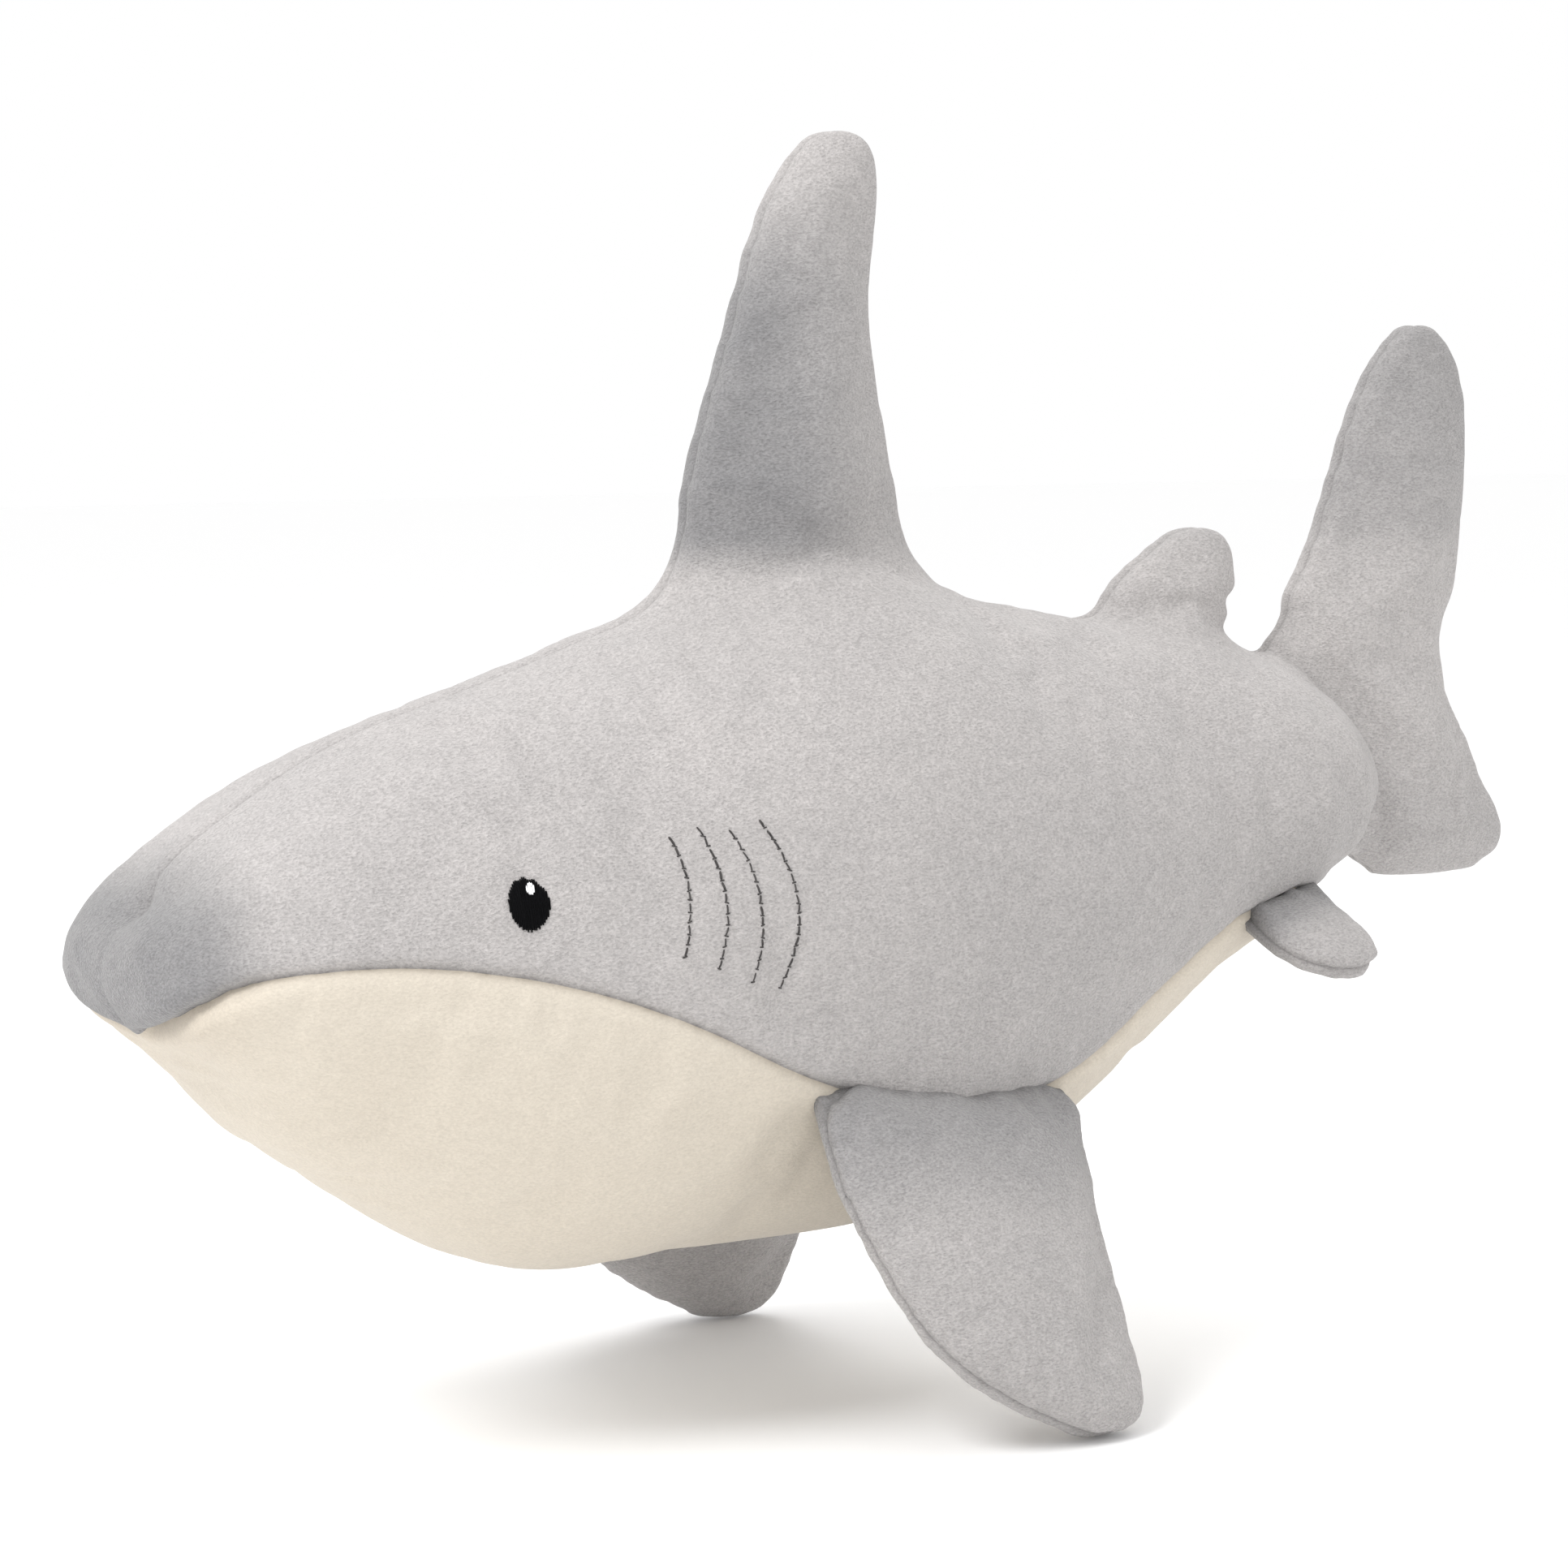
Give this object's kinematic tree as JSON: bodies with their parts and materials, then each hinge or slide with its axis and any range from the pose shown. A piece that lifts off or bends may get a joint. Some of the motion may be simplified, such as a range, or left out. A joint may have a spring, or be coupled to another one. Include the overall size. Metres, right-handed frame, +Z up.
{
  "type": "plush shark",
  "caption": "Stuffed plush shark with a grey back, cream belly, tall dorsal fin, long hanging pectoral fins, small pelvic fins, crescent tail, stitched gills and embroidered eyes.",
  "frame": {"origin": "on the ground under the middle of the shark's bounding box, at the tips of the pectoral fins it stands on", "axes": "+X from nose to tail, +Y towards the shark's right side, +Z up"},
  "size_m": [0.447, 0.1854, 0.327],
  "materials": {
    "grey_plush": "short-pile brushed plush",
    "cream_plush": "short-pile brushed plush",
    "fibre_stuffing": "loose polyester fibre",
    "black_thread": "satin-stitch embroidery",
    "white_thread": "satin-stitch embroidery",
    "dark_grey_thread": "running-stitch embroidery"
  },
  "bodies": {
    "body": {"side_panel_left": "grey_plush", "side_panel_right": "grey_plush", "belly_panel": "cream_plush", "body_stuffing": "fibre_stuffing", "eye_left": "black_thread", "eye_right": "black_thread", "eye_glint_left": "white_thread", "eye_glint_right": "white_thread", "gill_stitch_left_1": "dark_grey_thread", "gill_stitch_left_2": "dark_grey_thread", "gill_stitch_left_3": "dark_grey_thread", "gill_stitch_left_4": "dark_grey_thread", "gill_stitch_right_1": "dark_grey_thread", "gill_stitch_right_2": "dark_grey_thread", "gill_stitch_right_3": "dark_grey_thread", "gill_stitch_right_4": "dark_grey_thread"},
    "tail": {"tail_skin": "grey_plush", "tail_stuffing": "fibre_stuffing"},
    "pectoral_left": {"pectoral_left_outer_panel": "grey_plush", "pectoral_left_inner_panel": "grey_plush", "pectoral_left_stuffing": "fibre_stuffing"},
    "pectoral_right": {"pectoral_right_outer_panel": "grey_plush", "pectoral_right_inner_panel": "grey_plush", "pectoral_right_stuffing": "fibre_stuffing"},
    "pelvic_left": {"pelvic_left_outer_panel": "grey_plush", "pelvic_left_inner_panel": "grey_plush", "pelvic_left_stuffing": "fibre_stuffing"},
    "pelvic_right": {"pelvic_right_outer_panel": "grey_plush", "pelvic_right_inner_panel": "grey_plush", "pelvic_right_stuffing": "fibre_stuffing"}
  },
  "joints": [
    {"name": "pectoral_left_flap", "type": "hinge", "parent": "body", "child": "pectoral_left", "pos_m": [-0.06076, -0.05764, 0.09095], "axis": [-0.9822, -0.1604, 0.0982], "range_deg": [-12, 35], "stiffness_Nm_per_rad": 0.6},
    {"name": "pelvic_left_flap", "type": "hinge", "parent": "body", "child": "pelvic_left", "pos_m": [0.09156, -0.04081, 0.11736], "axis": [-0.9563, -0.2322, -0.1776], "range_deg": [-15, 25], "stiffness_Nm_per_rad": 0.12},
    {"name": "pectoral_right_flap", "type": "hinge", "parent": "body", "child": "pectoral_right", "pos_m": [-0.06076, 0.05764, 0.09095], "axis": [0.9822, -0.1604, -0.0982], "range_deg": [-12, 35], "stiffness_Nm_per_rad": 0.6},
    {"name": "pelvic_right_flap", "type": "hinge", "parent": "body", "child": "pelvic_right", "pos_m": [0.09156, 0.04081, 0.11736], "axis": [0.9563, -0.2322, 0.1776], "range_deg": [-15, 25], "stiffness_Nm_per_rad": 0.12},
    {"name": "tail_swing", "type": "hinge", "parent": "body", "child": "tail", "pos_m": [0.165, 0, 0.15], "axis": [0, 0, 1], "range_deg": [-20, 20], "stiffness_Nm_per_rad": 0.4}
  ]
}
